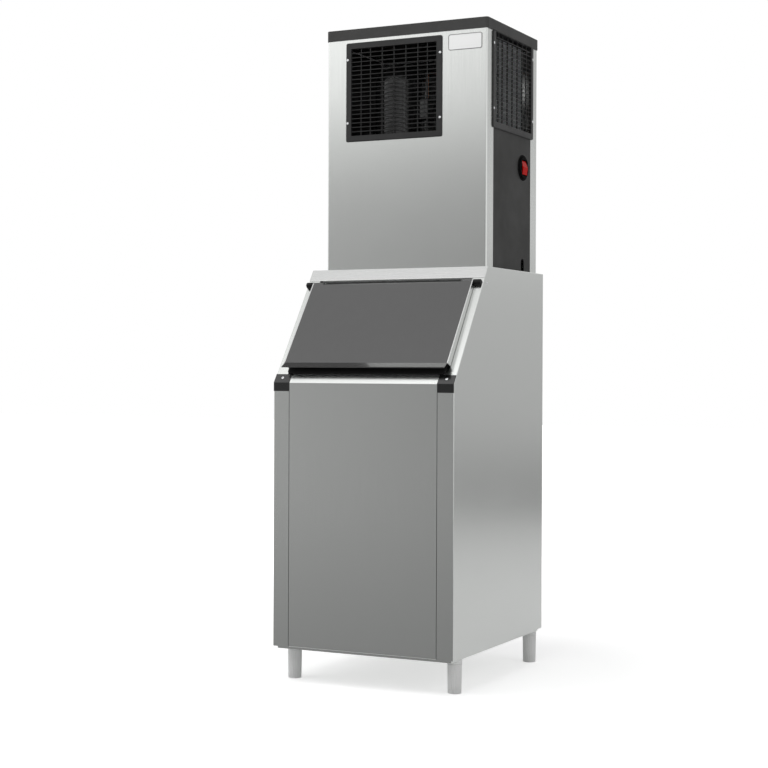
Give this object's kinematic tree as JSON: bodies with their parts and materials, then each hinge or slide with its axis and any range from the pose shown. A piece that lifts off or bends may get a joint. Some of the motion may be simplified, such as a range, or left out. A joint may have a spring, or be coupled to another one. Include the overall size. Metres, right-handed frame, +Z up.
{
  "type": "ice machine",
  "caption": "Cube ice machine: a tall steel-cased ice-making head with louvred grilles, standing on an insulated storage bin with a sloping flip-up door and levelling feet.",
  "frame": {"origin": "on the floor, under the centre of the whole machine", "axes": "+Z up, -Y is the front with the door, +X is the side with the switch"},
  "size_m": [0.5616, 0.6886, 1.89],
  "materials": {
    "stainless": "fine vertical brushed finish",
    "bright_trim": "bright brushed edge trim",
    "dark_panel": "satin charcoal paint",
    "lid_plastic": "fine-grained charcoal plastic",
    "grille_plastic": "black moulded plastic",
    "door_plastic": "smoked dark grey plastic",
    "black_plastic": "black moulded plastic",
    "black_rubber": "soft black rubber",
    "foot_plastic": "light grey moulded plastic",
    "liner_plastic": "white food-safe plastic",
    "foam": "dark closed-cell foam",
    "zinc": "zinc-plated steel",
    "galvanised": "galvanised sheet",
    "compressor_black": "black enamel",
    "fin_aluminium": "bare aluminium fins",
    "copper": "bare copper",
    "brass": "machined brass",
    "red_lens": "red translucent plastic",
    "hose": "clear flexible hose",
    "curtain_plastic": "clear plastic"
  },
  "bodies": {
    "cabinet": {"bin_base": "stainless", "bin_side_left": "stainless", "bin_side_right": "stainless", "bin_front_panel": "stainless", "bin_rear_panel": "galvanised", "bin_fascia": "bright_trim", "bin_top_deck": "stainless", "bin_liner": "liner_plastic", "bin_insulation": "foam", "bin_drain": "black_plastic", "corner_cap_left": "black_plastic", "corner_cap_right": "black_plastic", "corner_cap_screws": "zinc", "hinge_block_left": "black_plastic", "hinge_block_right": "black_plastic", "hinge_rivets": "zinc", "head_base": "stainless", "head_front_panel": "stainless", "head_rear_panel": "stainless", "head_side_left": "dark_panel", "head_side_right": "dark_panel", "head_top_frame": "bright_trim", "head_lid": "lid_plastic", "head_deck": "galvanised", "front_grille": "grille_plastic", "side_grille": "grille_plastic", "grille_screws": "zinc", "switch_housing": "black_plastic", "compressor": "compressor_black", "compressor_feet": "black_rubber", "condenser": "fin_aluminium", "fan_shroud": "galvanised", "fan_motor": "compressor_black", "fan_bracket": "galvanised", "discharge_tube": "copper", "suction_tube": "copper", "filter_drier": "copper", "evaporator": "zinc", "water_trough": "liner_plastic", "water_pump": "black_plastic", "water_distributor": "liner_plastic", "pump_hose": "hose", "curtain_brackets": "stainless", "electrical_box": "galvanised", "inlet_valve": "liner_plastic", "purge_drain": "liner_plastic", "cable_gland": "black_plastic", "foot_sockets": "foot_plastic"},
    "bin_door": {"door_shell": "door_plastic", "door_cheeks": "bright_trim", "door_core": "black_plastic", "door_gasket": "black_rubber", "door_pins": "zinc"},
    "power_rocker": {"switch_rocker": "red_lens"},
    "fan_rotor": {"fan_blades": "black_plastic"},
    "ice_flap": {"ice_curtain": "curtain_plastic"},
    "foot_front_left": {"foot_front_left": "foot_plastic"},
    "foot_rear_left": {"foot_rear_left": "foot_plastic"},
    "foot_front_right": {"foot_front_right": "foot_plastic"},
    "foot_rear_right": {"foot_rear_right": "foot_plastic"}
  },
  "joints": [
    {"name": "door_hinge", "type": "hinge", "parent": "cabinet", "child": "bin_door", "pos_m": [0, -0.14973, 1.13089], "axis": [-1, 0, 0], "range_deg": [0, 156.5]},
    {"name": "power_switch", "type": "hinge", "parent": "cabinet", "child": "power_rocker", "pos_m": [0.2559, 0.212, 1.489], "axis": [0, 1, 0], "range_deg": [0, 12.7]},
    {"name": "fan_spin", "type": "hinge", "parent": "cabinet", "child": "fan_rotor", "pos_m": [0.165, 0.082, 1.704], "axis": [1, 0, 0], "continuous": true},
    {"name": "flap_swing", "type": "hinge", "parent": "cabinet", "child": "ice_flap", "pos_m": [0, 0.078, 1.526], "axis": [-1, 0, 0], "range_deg": [0, 28]},
    {"name": "level_front_left", "type": "slide", "parent": "cabinet", "child": "foot_front_left", "axis": [0, 0, -1], "range_m": [0, 0.02]},
    {"name": "level_rear_left", "type": "slide", "parent": "cabinet", "child": "foot_rear_left", "axis": [0, 0, -1], "range_m": [0, 0.02]},
    {"name": "level_front_right", "type": "slide", "parent": "cabinet", "child": "foot_front_right", "axis": [0, 0, -1], "range_m": [0, 0.02]},
    {"name": "level_rear_right", "type": "slide", "parent": "cabinet", "child": "foot_rear_right", "axis": [0, 0, -1], "range_m": [0, 0.02]}
  ]
}
